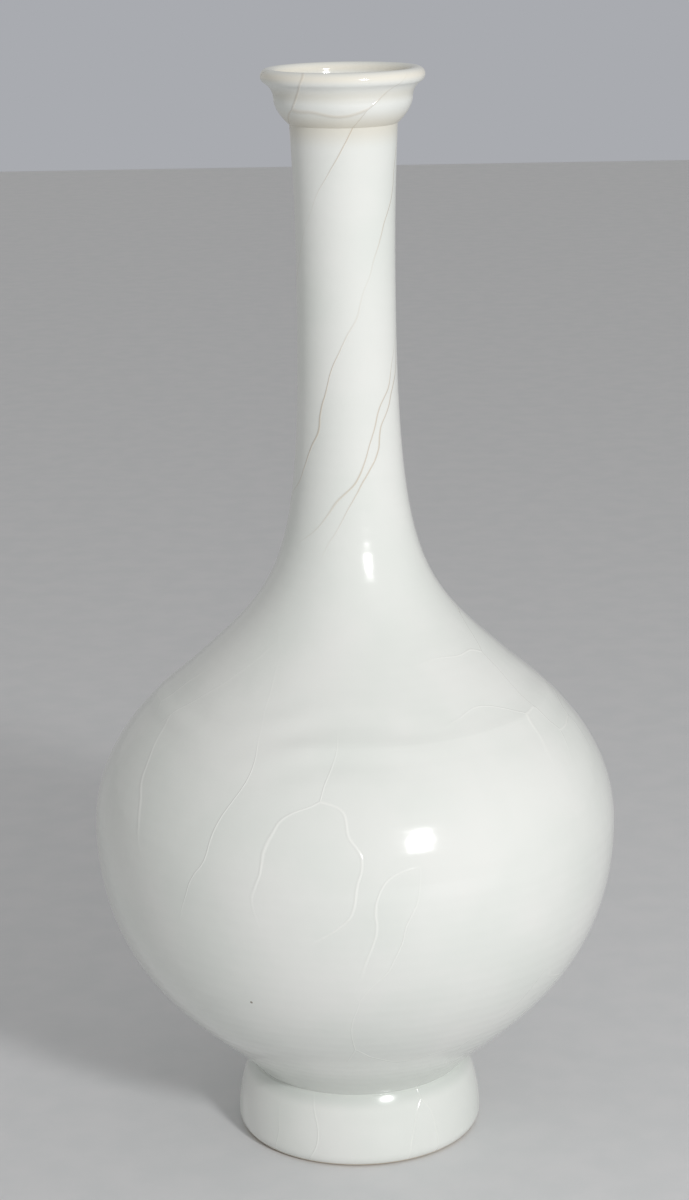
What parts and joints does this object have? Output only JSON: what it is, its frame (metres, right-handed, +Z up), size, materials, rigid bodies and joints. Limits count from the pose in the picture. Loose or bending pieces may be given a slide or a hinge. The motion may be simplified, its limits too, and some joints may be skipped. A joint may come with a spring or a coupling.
{
  "type": "bottle vase",
  "caption": "Long-necked bottle vase of white glazed porcelain with a rolled lip, round belly and splayed foot ring.",
  "frame": {"origin": "middle of the resting plane of the foot ring", "axes": "+Z up along the axis of revolution"},
  "size_m": [0.1754, 0.1754, 0.36],
  "materials": {
    "foot_glaze": "clear glossy glaze, bare resting rim",
    "body_glaze": "milky white glossy glaze, long pale crackle",
    "neck_glaze": "white glossy glaze, sparse tan-stained crackle",
    "mouth_glaze": "white glossy glaze, thin and warmer at the lip",
    "slip": "porcelain slip under the glaze"
  },
  "bodies": {
    "root": {"foot_ring": "foot_glaze", "foot_luting_seam": "slip", "lower_body": "body_glaze", "belly_luting_seam": "slip", "upper_body": "body_glaze", "shoulder_luting_seam": "slip", "neck": "neck_glaze", "mouth_luting_seam": "slip", "mouth_ring": "mouth_glaze"}
  },
  "joints": []
}
